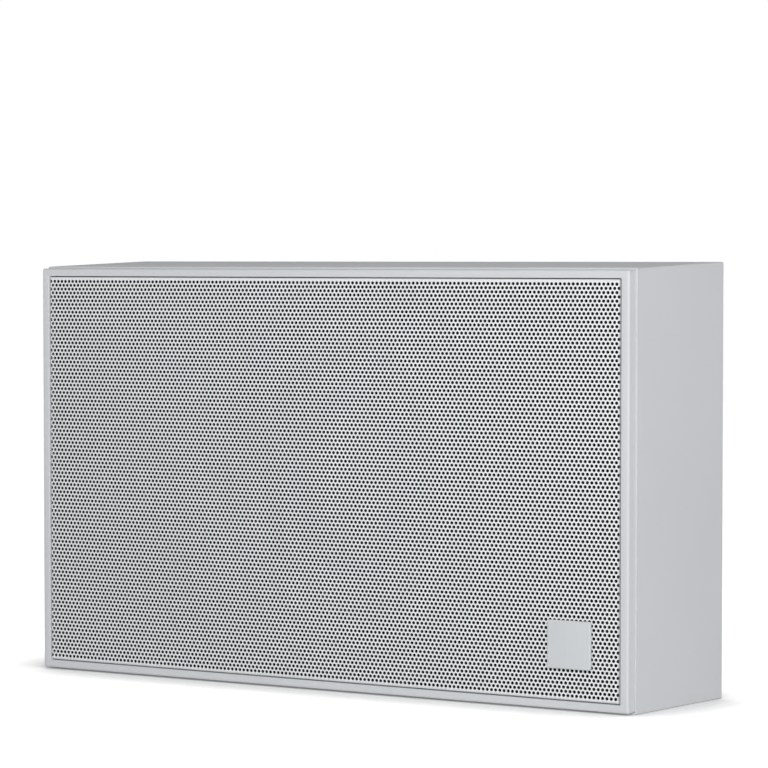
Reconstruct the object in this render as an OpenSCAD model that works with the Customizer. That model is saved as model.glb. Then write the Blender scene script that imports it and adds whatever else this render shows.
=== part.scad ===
// Wall speaker: moulded cabinet, crowned steel grille, dual cone driver and line transformer.
// The wall is the plane y = 0, the front faces -Y and +Z is up.
// Inside the modules x is across, y is up and z runs out from the wall.

/* [Cabinet] */
// Width of the cabinet at the wall
body_w = 302.9; // [296:0.1:330]
// Height of the cabinet at the wall
body_h = 187.6; // [184:0.1:210]
// Depth of the cabinet from the wall to its front edge
body_d = 77.8; // [76:0.1:95]
// Draft of the four walls in degrees
draft = 1.67; // [0.5:0.01:2.2]
// Thickness of the walls
wall = 2.5; // [2:0.1:3.5]
// Radius of the four long edges
body_edge_r = 0.8; // [0.4:0.1:2]
// Thickness of the baffle
baffle_t = 3; // [2.5:0.1:4]
// Depth of the pocket in front of the baffle
pocket_d = 8.8; // [7:0.1:11]

/* [Front frame] */
// Ledge of the cabinet that shows around the frame
ledge = 0.95; // [0.8:0.05:1.6]
// How far the frame stands in front of the cabinet
frame_proud = 5.9; // [4:0.1:9]
// Width of the border around the window
frame_border = 3.2; // [3:0.1:6]
// Radius of the frame's front edge
frame_edge_r = 1; // [0.5:0.1:2]
// Radius of the frame's corners seen from the front
frame_corner_r = 0.8; // [0.6:0.1:2]
// Clearance of the frame in the cabinet's pocket
frame_fit = 0.1; // [0.05:0.05:0.3]
// Width of the seat behind the grille
seat_w = 8; // [6:0.5:12]
// Thickness of the seat behind the grille
seat_t = 2; // [1.5:0.1:3]
// Width of a snap hook
hook_w = 8; // [6:0.5:12]
// Thickness of a snap hook
hook_t = 1.5; // [1:0.1:1.8]
// Reach of a hook's barb behind the baffle
hook_barb = 1.3; // [0.8:0.1:2]
// Clearance around a hook
hook_fit = 0.3; // [0.2:0.05:0.5]

/* [Grille] */
// Thickness of the sheet
sheet_t = 0.6; // [0.5:0.1:1]
// Outside radius of the folded edges
fold_r = 1.1; // [1:0.1:2]
// Depth of the folded edges
fold_d = 7; // [5:0.5:9]
// How far the sheet's edge lies behind the frame's face
grille_recess = 0.3; // [0:0.1:1.5]
// Height of the crown in the middle of the sheet
crown = 2.7; // [1:0.1:5]
// Gap to the frame at each side
gap_side = 1; // [0.5:0.1:2]
// Gap to the frame above and below
gap_top = 0.5; // [0.3:0.1:2]
// Distance between holes along a row
hole_pitch = 8.38; // [8:0.02:14]
// Diameter of a hole
hole_d = 5.8; // [3:0.1:6.5]
// Plain margin between the fold and the outermost holes
hole_margin = 1.5; // [1:0.1:6]
// Width of a fixing tab
tab_w = 6; // [4:0.5:8]
// Clearance around a fixing tab
tab_fit = 0.3; // [0.2:0.05:0.5]
// Length of the bent end of a fixing tab
tab_bend = 3; // [2:0.1:4]
// Thickness of the cloth behind the grille
cloth_t = 0.5; // [0.3:0.1:1]

/* [Badge] */
// Side of the square badge
badge_s = 20; // [14:0.5:26]
// Thickness of the badge
badge_t = 1.2; // [0.8:0.1:2]
// Corner radius of the badge
badge_r = 0.8; // [0.5:0.1:4]
// Distance from the badge's middle to the side of the window
badge_from_side = 23.4; // [20:0.1:60]
// Distance from the badge's middle to the bottom of the window
badge_from_bottom = 23.7; // [20:0.1:60]
// Diameter of the badge's pegs
peg_d = 2.4; // [2:0.1:3]
// Distance between the pegs
peg_gap = 10; // [7:0.5:12]
// Clearance of a peg in the sheet and in its clip
peg_fit = 0.1; // [0.05:0.05:0.3]
// Diameter of a peg clip
clip_d = 7; // [5:0.5:8]
// Thickness of a peg clip
clip_t = 0.5; // [0.4:0.1:1]

/* [Wall plate] */
// Thickness of the wall plate
plate_t = 1.5; // [1:0.1:2]
// Clearance of the plate in the cabinet
plate_fit = 0.4; // [0.2:0.1:1]
// Distance between the wall screws across
wall_hole_x = 240; // [200:1:250]
// Distance between the wall screws up
wall_hole_y = 110; // [80:1:120]
// Diameter of the wall screw holes
wall_hole_d = 5; // [4:0.5:7]
// Distance between the two lugs on an edge
lug_gap = 190; // [160:1:200]
// Width of a lug
lug_w = 14; // [10:1:18]
// Reach of a lug from the wall
lug_l = 14; // [12:0.5:18]
// Distance from the cabinet's inner wall to a lug
lug_drop = 3; // [2.6:0.1:5]
// Height of the lip on an upper lug
lug_lip = 1.8; // [1.2:0.1:2]
// Diameter of the lock screws
lock_d = 4; // [3:0.5:5]
// Diameter of a lock screw's head
lock_head_d = 7.4; // [6.5:0.1:9]
// Height of a lock screw's head
lock_head_h = 1.8; // [1.5:0.1:2]

/* [Cable entry] */
// Height of the cable entry from the middle
entry_y = -38; // [-50:1:-30]
// Distance of the cable entry from the plate's left edge
entry_side = 48.55; // [40:0.05:70]
// Diameter of the hole for the grommet
entry_d = 20; // [16:0.5:22]
// Depth of the pressed recess around the hole
entry_recess = 2.5; // [2:0.1:4]
// Bore of the grommet
grommet_bore = 10; // [6:0.5:12]
// Thickness of a grommet lip
grommet_lip = 1.5; // [1:0.1:1.9]
// Width of a grommet lip
grommet_lip_w = 3; // [2:0.1:4]
// Clearance of the grommet in its hole
grommet_fit = 0.1; // [0.05:0.05:0.3]

/* [Driver] */
// Distance from the basket's flange to the cabinet's wall above and below
driver_gap = 6.9; // [5:0.1:12]
// Width of the basket's flange
flange_w = 9.5; // [8.5:0.5:11]
// Distance from the flange's edge to the middle of a screw
screw_edge = 4.5; // [4:0.1:5]
// Thickness of the basket
basket_t = 1.2; // [0.8:0.1:1.5]
// Thickness of the driver's gasket
gasket_t = 1.5; // [1:0.1:3]
// Depth of the surround's seat behind the flange
seat_drop = 4.5; // [4:0.1:5]
// Width of the surround's seat in the basket
seat_ring = 4; // [3.5:0.5:5]
// Width of the surround's glued rims
rim_w = 3; // [2:0.5:3]
// Play of the surround's outer rim in the basket
rim_play = 0.5; // [0.3:0.1:0.8]
// Radius of the surround's roll
roll_r = 3; // [2.6:0.1:3.2]
// Thickness of the surround
surround_t = 0.5; // [0.4:0.05:0.6]
// Thickness of the cone's paper
cone_t = 0.6; // [0.4:0.1:0.8]
// Depth of the cone from its rim to its neck
cone_depth = 16; // [14:0.5:17]
// Diameter of the whizzer cone
whizzer_d = 60; // [50:1:70]
// Height of the whizzer cone
whizzer_h = 12; // [10:0.5:14]
// Outer diameter of the coil former
former_d = 25.2; // [24:0.1:26]
// Wall of the coil former
former_t = 0.3; // [0.2:0.05:0.4]
// Thickness of the voice coil's winding
coil_t = 0.4; // [0.3:0.05:0.5]
// Length of the voice coil's winding
coil_l = 9; // [7:0.5:10]
// Air gap on each side of the coil
air_gap = 0.4; // [0.35:0.05:0.6]
// Distance from the cone's neck down to the spider
spider_drop = 4; // [3.5:0.5:5]
// Diameter of the spider
spider_d = 87; // [84:1:90]
// Width of the spider's glued rim
spider_rim = 5; // [4:0.5:6]
// Thickness of the spider
spider_t = 0.4; // [0.3:0.05:0.5]
// Height of the spider's waves
spider_wave = 0.6; // [0.4:0.1:0.8]
// Distance from the spider down to the top plate
plate_drop = 7; // [6:0.5:8]
// Diameter of the top plate
top_plate_d = 62; // [60:1:66]
// Thickness of the top plate and of the yoke's base
pole_plate_t = 5; // [4:0.5:6]
// Diameter of the magnet
magnet_d = 72; // [66:1:80]
// Bore of the magnet
magnet_bore = 32; // [30:1:34]
// Thickness of the magnet
magnet_t = 12; // [10:0.5:13]

/* [Transformer] */
// Distance of the transformer from the plate's right edge
trafo_side = 36.55; // [34:0.05:40]
// Width of one outer leg of the core
leg = 8; // [7:0.5:9]
// Length of the core's windows
window_l = 24; // [22:0.5:26]
// Thickness of the stack of laminations
stack = 16; // [14:0.5:18]
// Thickness of the bobbin
bobbin_t = 1.1; // [0.9:0.1:1.3]
// Clearance of the core in the bobbin
bobbin_fit = 0.2; // [0.1:0.05:0.4]
// Thickness of the bracket
bracket_t = 1; // [0.8:0.1:1.5]
// Width of the bracket
bracket_w = 14; // [10:1:18]
// Length of a bracket foot
foot_l = 10; // [9:0.5:14]

/* [Terminal block] */
// Distance of the block from the plate's left edge
block_side = 48.55; // [40:0.05:56]
// Height of the block from the middle
block_y = 8; // [0:1:14]
// Width of the block
block_w = 32; // [30:1:36]
// Height of the block
block_h = 22; // [20:1:26]
// Thickness of the block
block_t = 15; // [14:0.5:18]
// Distance between the two poles
pole_gap = 17; // [16:0.5:18]
// Diameter of the internal leads
lead_d = 1.8; // [1.4:0.1:2]
// Diameter of the thermal fuse
fuse_d = 4; // [3.5:0.1:5]
// Length of the thermal fuse's body
fuse_l = 11; // [9:0.5:13]

/* [Hidden] */

// Colours
cabinet_grey = [0.80, 0.81, 0.82];
grille_grey = [0.88, 0.89, 0.90];
badge_grey = [0.78, 0.79, 0.80];
zinc = [0.72, 0.73, 0.75];
brass = [0.80, 0.66, 0.36];
black = [0.06, 0.06, 0.07];

// Facets
round_fn = 96;
screw_fn = 32;
edge_fn = 24;
corner_steps = 5;
cut = 1;

// Cabinet and frame
shrink = tan(draft);
front_w = body_w - 2 * body_d * shrink;
front_h = body_h - 2 * body_d * shrink;
frame_w = front_w - 2 * ledge;
frame_h = front_h - 2 * ledge;
pocket_w = frame_w + 2 * frame_fit;
pocket_h = frame_h + 2 * frame_fit;
baffle_front = body_d - pocket_d;
baffle_back = baffle_front - baffle_t;
frame_front = body_d + frame_proud;
window_w = frame_w - 2 * frame_border;
window_h = frame_h - 2 * frame_border;
hooks = [for (sx = [-1, 1], sy = [-1, 1]) [sx * frame_w / 3, sy]];

// Grille
grille_w = window_w - 2 * gap_side;
grille_h = window_h - 2 * gap_top;
grille_z = frame_front - grille_recess;
seat_z = grille_z - fold_d;
crown_w = grille_w - 2 * fold_r;
crown_h = grille_h - 2 * fold_r;
tab_x = [-grille_w / 3, 0, grille_w / 3];
row_pitch = hole_pitch * sqrt(3) / 2;
perf_w = crown_w - 2 * hole_margin - hole_d;
perf_h = crown_h - 2 * hole_margin - hole_d;
hole_cols = floor(perf_w / hole_pitch) + 1;
hole_rows = floor(perf_h / row_pitch) + 1;

// Badge
badge_x = window_w / 2 - badge_from_side;
badge_y = -window_h / 2 + badge_from_bottom;
peg_x = [badge_x - peg_gap / 2, badge_x + peg_gap / 2];
badge_z = grille_z + crown_at(badge_x - badge_s / 2, badge_y + badge_s / 2);
badge_clear = badge_s / 2 + hole_d / 2 + 0.6;
clip_z = grille_z - sheet_t - 0.6;
cloth_z = clip_z - 2 * clip_t - 0.3 - cloth_t;

// Wall plate
plate_w = body_w - 2 * wall - 2 * plate_fit;
plate_h = body_h - 2 * wall - 2 * plate_fit;
lug_y = body_h / 2 - wall - lug_drop;
rib_w = lug_w + 4;
rib_z = plate_t + 1.5;
lip_gap = 0.3;
entry_x = plate_w / 2 - entry_side;
lock_z = 0.65 * lug_l;
lock_seat = body_h / 2 - wall + 0.3;
lug_x = [-lug_gap / 2, lug_gap / 2];

// Driver, counted down from the flange's front face
flange_z = baffle_back - gasket_t;
flange_r = body_h / 2 - wall - baffle_back * shrink - driver_gap;
screw_r = flange_r - screw_edge;
opening_r = flange_r - flange_w;
bowl_r = opening_r - 0.5;
seat_r = bowl_r - seat_ring;
surround_z = flange_z - seat_drop;
neck_z = surround_z - cone_depth;
spider_z = neck_z - spider_drop;
plate_face = spider_z - plate_drop;
magnet_top = plate_face - pole_plate_t;
yoke_top = magnet_top - magnet_t;
yoke_back = yoke_top - pole_plate_t;
former_r = former_d / 2;
pole_r = former_r - former_t - air_gap;
coil_r = former_r + coil_t + 0.05;
coil_mid = magnet_top + pole_plate_t / 2;
glue = 0.2;
neck_r = former_r + glue;
cone_r = bowl_r - rim_play - rim_w - 2 * roll_r;
former_top = neck_z + 1;
former_foot = coil_mid - coil_l / 2 - 1.5;
roll_mid = cone_r + roll_r;
spider_r = spider_d / 2;
spider_in = spider_r - spider_rim;
screw_angles = [45, 135, 225, 315];

// Transformer
trafo_x = plate_w / 2 - trafo_side;
core_l = window_l + 2 * leg;
core_w = 6 * leg;
bobbin_h = stack + 2 * leg - 1;
core_z = plate_t + core_l / 2;
foot_y = core_w / 2 + bracket_t + foot_l / 2;
lead_x = trafo_x - (bobbin_h - 1.2) / 2 - lead_d / 2;

// Terminal block
block_x = plate_w / 2 - block_side;
wire_z = plate_t + 5.5;
insert_d = 6;
block_top = plate_t + block_t;

// Leads
lead_r = lead_d / 2;
lead_sides = 8;
floor_z = plate_t + lead_r + 0.3;
fuse_x = 45 - block_x;
fuse_y = block_y - 30;

function crown_at(x, y) =
  crown * (1 - pow(2 * x / crown_w, 2)) * (1 - pow(2 * y / crown_h, 2));

function round_rect(w, h, r) = [
  for (c = [0 : 3], k = [0 : corner_steps])
    let (a = 90 * c + 90 * k / corner_steps)
    let (cx = (c == 0 || c == 3) ? w / 2 - r : r - w / 2)
    let (cy = (c < 2) ? h / 2 - r : r - h / 2)
    [cx + r * cos(a), cy + r * sin(a)]
];

// Turns the modules' own frame so that the front faces -Y
module face_out() {
  rotate([90, 0, 0]) children();
}

module plate_2d(w, h, r) {
  for (sx = [-1, 1], sy = [-1, 1])
    translate([sx * (w / 2 - r), sy * (h / 2 - r)]) circle(r = r, $fn = edge_fn);
  square([w - 2 * r, h], center = true);
  square([w, h - 2 * r], center = true);
}

module slab(w, h, z0, z1) {
  translate([-w / 2, -h / 2, z0]) cube([w, h, z1 - z0]);
}

module ring(r0, r1, z0, z1) {
  translate([0, 0, z0]) difference() {
    cylinder(r = r1, h = z1 - z0, $fn = round_fn);
    translate([0, 0, -cut]) cylinder(r = r0, h = z1 - z0 + 2 * cut, $fn = round_fn);
  }
}

// Solid skinned over loops of the same number of points; each loop is [points, z]
module skinned(loops) {
  n = len(loops[0][0]);
  last = len(loops) - 1;
  points = [for (l = loops, p = l[0]) [p[0], p[1], l[1]]];
  base = [[for (i = [0 : n - 1]) i]];
  top = [[for (i = [n - 1 : -1 : 0]) last * n + i]];
  sides = [
    for (k = [0 : last - 1], i = [0 : n - 1])
      let (j = (i + 1) % n)
      [k * n + i, (k + 1) * n + i, (k + 1) * n + j, k * n + j]
  ];
  polyhedron(points, concat(base, sides, top), 4);
}

// Block whose four walls close in with the cabinet's draft; w and h are its size at the wall
module drafted(w, h, z0, z1, r) {
  skinned([for (z = [z0, z1]) [round_rect(w - 2 * z * shrink, h - 2 * z * shrink, r), z]]);
}

// Block with a rounded front edge
module round_fronted(w, h, z0, z1, r, corner) {
  skinned(concat(
    [[round_rect(w, h, corner), z0]],
    [for (k = [0 : corner_steps])
      let (a = 90 * k / corner_steps, in = r * (1 - cos(a)))
      [round_rect(w - 2 * in, h - 2 * in, max(corner - in, 0.3)), z1 - r * (1 - sin(a))]]
  ));
}

// Round tube along a smooth curve through the given points
function along(p, i, t) =
  let (a = p[max(i - 1, 0)], b = p[i], c = p[i + 1], d = p[min(i + 2, len(p) - 1)])
  0.5 * (2 * b + (c - a) * t + (2 * a - 5 * b + 4 * c - d) * t * t + (3 * b - a - 3 * c + d) * t * t * t);

function smooth(p, n) = concat(
  [for (i = [0 : len(p) - 2], k = [0 : n - 1]) along(p, i, k / n)], [p[len(p) - 1]]
);

function unit(v) = v / norm(v);

module tube(points, r, steps = 4) {
  path = smooth(points, steps);
  m = len(path);
  rings = [
    for (i = [0 : m - 1])
      let (t = unit(path[min(i + 1, m - 1)] - path[max(i - 1, 0)]))
      let (u = unit(cross(t, [0.31, 0.87, 0.38])))
      let (v = cross(t, u))
      for (k = [0 : lead_sides - 1])
        path[i] + r * (cos(360 * k / lead_sides) * u + sin(360 * k / lead_sides) * v)
  ];
  skin = [
    for (i = [0 : m - 2], k = [0 : lead_sides - 1])
      let (a = i * lead_sides + k, b = i * lead_sides + (k + 1) % lead_sides)
      for (f = [[a, a + lead_sides, b + lead_sides], [a, b + lead_sides, b]]) f
  ];
  start = [[for (k = [0 : lead_sides - 1]) k]];
  end = [[for (k = [lead_sides - 1 : -1 : 0]) (m - 1) * lead_sides + k]];
  polyhedron(rings, concat(start, skin, end), 4);
}

// Cabinet: drafted shell, baffle, ribs for the upper lugs and pads for the lower ones
module cabinet() {
  color(cabinet_grey) face_out() difference() {
    union() {
      difference() {
        drafted(body_w, body_h, 0, body_d, body_edge_r);
        drafted(body_w - 2 * wall, body_h - 2 * wall, -cut, baffle_back, body_edge_r);
        slab(pocket_w, pocket_h, baffle_front, body_d + cut);
      }
      for (x = lug_x) {
        translate([x - rib_w / 2, lug_y, rib_z])
          cube([rib_w, lug_drop + wall / 2, lug_l - plate_t - lip_gap - rib_z]);
        translate([x - rib_w / 2, -lug_y - lug_drop - wall / 2, rib_z])
          cube([rib_w, lug_drop + wall / 2, lug_l]);
      }
      for (a = screw_angles)
        rotate([0, 0, a]) translate([screw_r, 0, baffle_front - 0.5])
          cylinder(d = 8, h = 4.5, $fn = screw_fn);
    }
    translate([0, 0, baffle_back - cut])
      cylinder(r = opening_r, h = baffle_t + 2 * cut, $fn = round_fn);
    for (a = screw_angles)
      rotate([0, 0, a]) translate([screw_r, 0, baffle_back - cut])
        cylinder(r = 1.45, h = baffle_t + cut + 3, $fn = screw_fn);
    for (x = lug_x) {
      translate([x, -lock_seat, lock_z]) rotate([90, 0, 0])
        cylinder(d = lock_head_d + 1, h = 2 * wall, $fn = screw_fn);
      translate([x, -lug_y + cut, lock_z]) rotate([90, 0, 0])
        cylinder(d = lock_d + 0.4, h = lug_drop + wall + cut, $fn = screw_fn);
    }
    for (h = hooks) hook_slot(h);
  }
}

// Slot in the baffle for one snap hook
module hook_slot(h) {
  y0 = window_h / 2 - hook_fit;
  y1 = window_h / 2 + hook_t + hook_barb + hook_fit;
  translate([h[0] - hook_w / 2 - hook_fit, h[1] > 0 ? y0 : -y1, baffle_back - cut])
    cube([hook_w + 2 * hook_fit, y1 - y0, baffle_t + 2 * cut]);
}

// Snap hook that passes the baffle and catches behind it
module hook(h) {
  arm_end = baffle_back - hook_fit - 1.6;
  y0 = window_h / 2;
  translate([h[0] - hook_w / 2, h[1] > 0 ? y0 : -y0 - hook_t, arm_end])
    cube([hook_w, hook_t, baffle_front - arm_end + 2]);
  translate([h[0] - hook_w / 2, h[1] > 0 ? y0 - hook_barb : -y0, arm_end])
    cube([hook_w, hook_barb, 1.6]);
}

// Front frame: round-edged border, seat for the grille's folds and four hooks
module front_frame() {
  color(cabinet_grey) face_out() {
    difference() {
      round_fronted(frame_w, frame_h, baffle_front, frame_front, frame_edge_r, frame_corner_r);
      slab(window_w, window_h, seat_z, frame_front + cut);
      slab(window_w - 2 * seat_w, window_h - 2 * seat_w, baffle_front - cut, seat_z + cut);
      slab(window_w, window_h, baffle_front - cut, seat_z - seat_t);
      for (x = tab_x, s = [-1, 1]) tab_slot(x, s);
    }
    for (h = hooks) hook(h);
  }
}

// Slot in the seat for one fixing tab
module tab_slot(x, s) {
  y = grille_h / 2 - sheet_t;
  translate([x - tab_w / 2 - tab_fit, s > 0 ? y - tab_fit : -y - sheet_t - tab_fit, seat_z - seat_t - cut])
    cube([tab_w + 2 * tab_fit, sheet_t + 2 * tab_fit, seat_t + 2 * cut]);
}

// Fixing tab: runs through the seat and is bent flat behind it
module tab(x, s) {
  y = grille_h / 2 - sheet_t;
  back = seat_z - seat_t - sheet_t;
  translate([x - tab_w / 2, s > 0 ? y : -y - sheet_t, back])
    cube([tab_w, sheet_t, seat_t + sheet_t + 0.5]);
  translate([x - tab_w / 2, s > 0 ? y - tab_bend : -y, back])
    cube([tab_w, tab_bend, sheet_t]);
}

// Sheet with a crown and four folded edges; the folds meet in mitred corners
module crowned_tray(nx, ny) {
  arcs = 3;
  function edge(k) =
    let (e = k % (2 * (nx + ny)))
    e < nx ? [e, 0] : e < nx + ny ? [nx, e - nx]
    : e < 2 * nx + ny ? [2 * nx + ny - e, ny] : [0, 2 * (nx + ny) - e];
  function flat(g, drop) =
    let (x = (g[0] / nx - 0.5) * crown_w, y = (g[1] / ny - 0.5) * crown_h)
    [x, y, grille_z - drop + crown_at(x, y)];
  function side(g) = [g[0] == 0 ? -1 : g[0] == nx ? 1 : 0, g[1] == 0 ? -1 : g[1] == ny ? 1 : 0];
  function bent(k, r, drop, a) =
    let (g = edge(k), p = flat(g, 0), s = side(g))
    [p[0] + s[0] * r * sin(a), p[1] + s[1] * r * sin(a), grille_z - drop - r * (1 - cos(a))];
  function foot(k, r) =
    let (p = bent(k, r, 0, 90))
    [p[0], p[1], seat_z];
  inner_r = fold_r - sheet_t;
  loop = 2 * (nx + ny);
  grid = (nx + 1) * (ny + 1);
  shell = grid + loop * (arcs + 1);
  function skin(r, drop) = concat(
    [for (j = [0 : ny], i = [0 : nx]) flat([i, j], drop)],
    [for (m = [1 : arcs], k = [0 : loop - 1]) bent(k, r, drop, 90 * m / arcs)],
    [for (k = [0 : loop - 1]) foot(k, r)]
  );
  function at(s, i, j) = s * shell + j * (nx + 1) + i;
  function on(s, m, k) =
    m == 0 ? at(s, edge(k)[0], edge(k)[1]) : s * shell + grid + (m - 1) * loop + k % loop;
  top = [
    for (j = [0 : ny - 1], i = [0 : nx - 1])
      let (a = at(0, i, j), b = at(0, i + 1, j), c = at(0, i + 1, j + 1), d = at(0, i, j + 1))
      for (f = [[a, c, b], [a, d, c]]) f
  ];
  under = [
    for (j = [0 : ny - 1], i = [0 : nx - 1])
      let (a = at(1, i, j), b = at(1, i + 1, j), c = at(1, i + 1, j + 1), d = at(1, i, j + 1))
      for (f = [[a, b, c], [a, c, d]]) f
  ];
  outside = [
    for (m = [0 : arcs], k = [0 : loop - 1])
      let (a = on(0, m, k), b = on(0, m, k + 1), c = on(0, m + 1, k + 1), d = on(0, m + 1, k))
      for (f = [[a, b, c], [a, c, d]]) f
  ];
  inside = [
    for (m = [0 : arcs], k = [0 : loop - 1])
      let (a = on(1, m, k), b = on(1, m, k + 1), c = on(1, m + 1, k + 1), d = on(1, m + 1, k))
      for (f = [[a, c, b], [a, d, c]]) f
  ];
  last = arcs + 1;
  rim = [
    for (k = [0 : loop - 1])
      let (a = on(0, last, k), b = on(0, last, k + 1), c = on(1, last, k + 1), d = on(1, last, k))
      for (f = [[a, b, c], [a, c, d]]) f
  ];
  polyhedron(concat(skin(fold_r, 0), skin(inner_r, sheet_t)), concat(top, under, outside, inside, rim), 4);
}

// Grille: crowned sheet, staggered round holes, badge holes and fixing tabs
module grille() {
  color(grille_grey) face_out() {
    difference() {
      crowned_tray(8, 6);
      for (j = [0 : hole_rows - 1], i = [0 : hole_cols - 1 - (j % 2)]) {
        x = (i - (hole_cols - 1) / 2 + (j % 2) / 2) * hole_pitch;
        y = (j - (hole_rows - 1) / 2) * row_pitch;
        if (max(abs(x - badge_x), abs(y - badge_y)) > badge_clear)
          translate([x, y, grille_z - 3 * sheet_t])
            cylinder(d = hole_d, h = crown + 5 * sheet_t, $fn = edge_fn);
      }
      for (x = peg_x)
        translate([x, badge_y, grille_z - 3 * sheet_t])
          cylinder(d = peg_d + 2 * peg_fit, h = crown + 5 * sheet_t, $fn = edge_fn);
    }
    for (x = tab_x, s = [-1, 1]) tab(x, s);
  }
}

// Cloth glued to the seat inside the grille's folds
module grille_cloth() {
  inset = 2 * (sheet_t + 0.1);
  color(black) face_out() slab(grille_w - inset, grille_h - inset, cloth_z, cloth_z + cloth_t);
}

module badge() {
  color(badge_grey) face_out() {
    translate([badge_x, badge_y, badge_z]) linear_extrude(height = badge_t)
      plate_2d(badge_s, badge_s, badge_r);
    for (x = peg_x)
      translate([x, badge_y, clip_z - 2 * clip_t])
        cylinder(d = peg_d, h = badge_z - clip_z + 2 * clip_t + badge_t / 2, $fn = edge_fn);
  }
}

module badge_clips() {
  color(zinc) face_out() for (x = peg_x)
    translate([x, badge_y, 0]) ring(peg_d / 2 + peg_fit, clip_d / 2, clip_z, clip_z + clip_t);
}

// Wall plate: sheet with wall holes, a pressed recess for the grommet and four bent lugs
module wall_plate() {
  pad_r = entry_d / 2 + grommet_lip_w + 4;
  color(zinc) face_out() difference() {
    union() {
      linear_extrude(height = plate_t) plate_2d(plate_w, plate_h, body_edge_r);
      translate([-entry_x, entry_y, 0])
        cylinder(r = pad_r + plate_t, h = entry_recess + plate_t, $fn = round_fn);
      for (x = lug_x) {
        translate([x - lug_w / 2, lug_y - plate_t, 0]) cube([lug_w, plate_t, lug_l]);
        translate([x - lug_w / 2, lug_y - plate_t, lug_l - plate_t])
          cube([lug_w, plate_t + lug_lip, plate_t]);
        translate([x - lug_w / 2, -lug_y, 0]) cube([lug_w, plate_t, lug_l + 2]);
      }
    }
    translate([-entry_x, entry_y, -cut])
      cylinder(r = pad_r, h = entry_recess + cut, $fn = round_fn);
    translate([-entry_x, entry_y, -cut])
      cylinder(d = entry_d, h = entry_recess + plate_t + 2 * cut, $fn = round_fn);
    for (sx = [-1, 1], sy = [-1, 1])
      translate([sx * wall_hole_x / 2, sy * wall_hole_y / 2, -cut])
        cylinder(d = wall_hole_d, h = plate_t + 2 * cut, $fn = screw_fn);
    for (x = lug_x)
      translate([x, -lug_y + plate_t + cut, lock_z]) rotate([90, 0, 0])
        cylinder(d = lock_d - 0.7, h = plate_t + 2 * cut, $fn = screw_fn);
    for (s = [-1, 1])
      translate([trafo_x, s * foot_y, -cut]) cylinder(r = 1.4, h = plate_t + 2 * cut, $fn = screw_fn);
    translate([-block_x, block_y, -cut]) cylinder(r = 1.4, h = plate_t + 2 * cut, $fn = screw_fn);
  }
}

module lock_screws() {
  color(zinc) face_out() for (x = lug_x)
    translate([x, -lock_seat, lock_z]) rotate([90, 0, 0]) difference() {
      union() {
        cylinder(d = lock_head_d, h = lock_head_h, $fn = screw_fn);
        translate([0, 0, lug_y - lock_seat - plate_t - 1.5])
          cylinder(d = lock_d - 0.8, h = lock_seat - lug_y + plate_t + 1.6, $fn = screw_fn);
      }
      cross_recess(lock_head_h);
    }
}

// Cross recess in the head that ends at height h
module cross_recess(h) {
  for (a = [0, 90]) rotate([0, 0, a]) translate([-1.8, -0.4, h - 1]) cube([3.6, 0.8, 1 + cut]);
}

// Grommet: two lips and a neck in the plate's hole, with a bore for the cable
module cable_grommet() {
  lip_r = entry_d / 2 + grommet_lip_w;
  color(black) face_out() translate([-entry_x, entry_y, 0]) {
    ring(grommet_bore / 2, lip_r, entry_recess - grommet_lip, entry_recess);
    ring(grommet_bore / 2, entry_d / 2 - grommet_fit, entry_recess - 0.5, entry_recess + plate_t + 0.5);
    ring(grommet_bore / 2, lip_r, entry_recess + plate_t, entry_recess + plate_t + grommet_lip);
  }
}

// Turned profile with holes for the driver's screws
module flange_holes(z0, z1) {
  for (a = screw_angles)
    rotate([0, 0, a]) translate([screw_r, 0, z0])
      cylinder(r = 2, h = z1 - z0, $fn = screw_fn);
}

module driver_gasket() {
  color(black) face_out() difference() {
    ring(opening_r + 0.5, flange_r, flange_z, baffle_back);
    flange_holes(flange_z - cut, baffle_back + cut);
  }
}

// Basket: pressed bowl with a seat for the surround, windows and a seat for the spider
module basket() {
  foot_r = spider_r + 0.5;
  step_r = spider_in - 0.5;
  plate_r = top_plate_d / 2 - 1;
  hub_r = magnet_bore / 2;
  skew = 1;
  t = basket_t;
  color(zinc) face_out() difference() {
    rotate_extrude($fn = round_fn) polygon([
      [flange_r, flange_z], [bowl_r, flange_z], [bowl_r, surround_z], [seat_r, surround_z],
      [foot_r, spider_z], [step_r, spider_z], [plate_r, plate_face + t], [hub_r, plate_face + t],
      [hub_r, plate_face], [plate_r + skew, plate_face], [step_r + skew, spider_z - t],
      [foot_r + skew, spider_z - t], [seat_r + skew, surround_z - t], [bowl_r + t, surround_z - t],
      [bowl_r + t, flange_z - t], [flange_r, flange_z - t]
    ]);
    flange_holes(flange_z - t - cut, flange_z + cut);
    for (i = [0 : 7]) rotate([0, 0, 45 * i])
      translate([0, 0, spider_z - t - cut]) linear_extrude(height = surround_z - spider_z)
        intersection() {
          difference() {
            circle(r = seat_r - 3, $fn = round_fn);
            circle(r = foot_r + 3, $fn = round_fn);
          }
          polygon([[0, 0], [bowl_r, -0.3 * bowl_r], [bowl_r, 0.3 * bowl_r]]);
        }
  }
}

// Half roll with a flat lip on the basket and a flat lip on the cone's rim
module surround() {
  h = surround_t;
  out_r = roll_r + h / 2;
  in_r = roll_r - h / 2;
  rise = asin(h / out_r);
  color(black) face_out() translate([0, 0, surround_z]) rotate_extrude($fn = round_fn) polygon(concat(
    [[roll_mid + roll_r + rim_w, 0], [roll_mid + roll_r + rim_w, h]],
    [for (k = [0 : 12]) let (a = rise + (180 - 2 * rise) * k / 12)
      [roll_mid + out_r * cos(a), out_r * sin(a)]],
    [[cone_r - rim_w, h], [cone_r - rim_w, 0]],
    [for (k = [0 : 12]) let (a = 180 - 15 * k) [roll_mid + in_r * cos(a), in_r * sin(a)]]
  ));
}

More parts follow.
